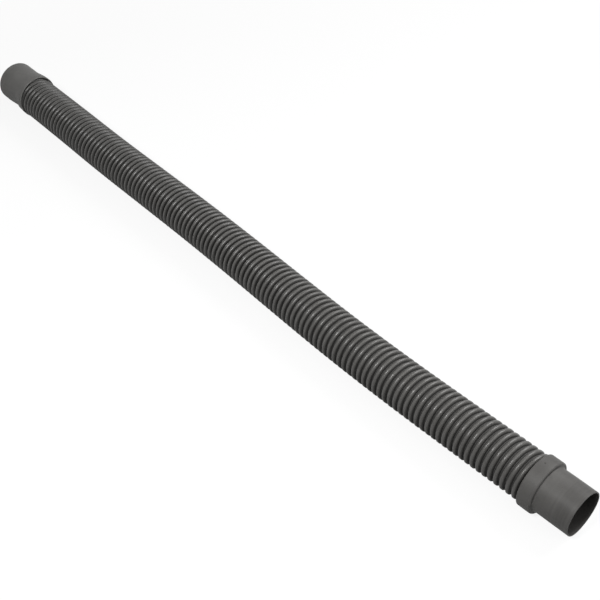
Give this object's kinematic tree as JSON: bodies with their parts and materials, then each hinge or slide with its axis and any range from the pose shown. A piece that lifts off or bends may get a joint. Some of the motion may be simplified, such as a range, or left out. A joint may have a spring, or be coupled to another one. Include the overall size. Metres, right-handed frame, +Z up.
{
  "type": "vacuum hose",
  "caption": "Ribbed suction hose section for a pool cleaner, lying on the ground, with a tapered spigot cuff at one end and a socket cuff at the other.",
  "frame": {"origin": "on the ground, below the middle of the section's bounding box", "axes": "+X along the hose from the socket end to the spigot end, +Z up"},
  "size_m": [0.9985, 0.0618, 0.0578],
  "materials": {
    "hose_wall": "satin, moulded",
    "cuff_plastic": "satin, moulded"
  },
  "bodies": {
    "root": {"hose": "hose_wall", "socket_cuff": "cuff_plastic", "spigot_cuff": "cuff_plastic"}
  },
  "joints": []
}
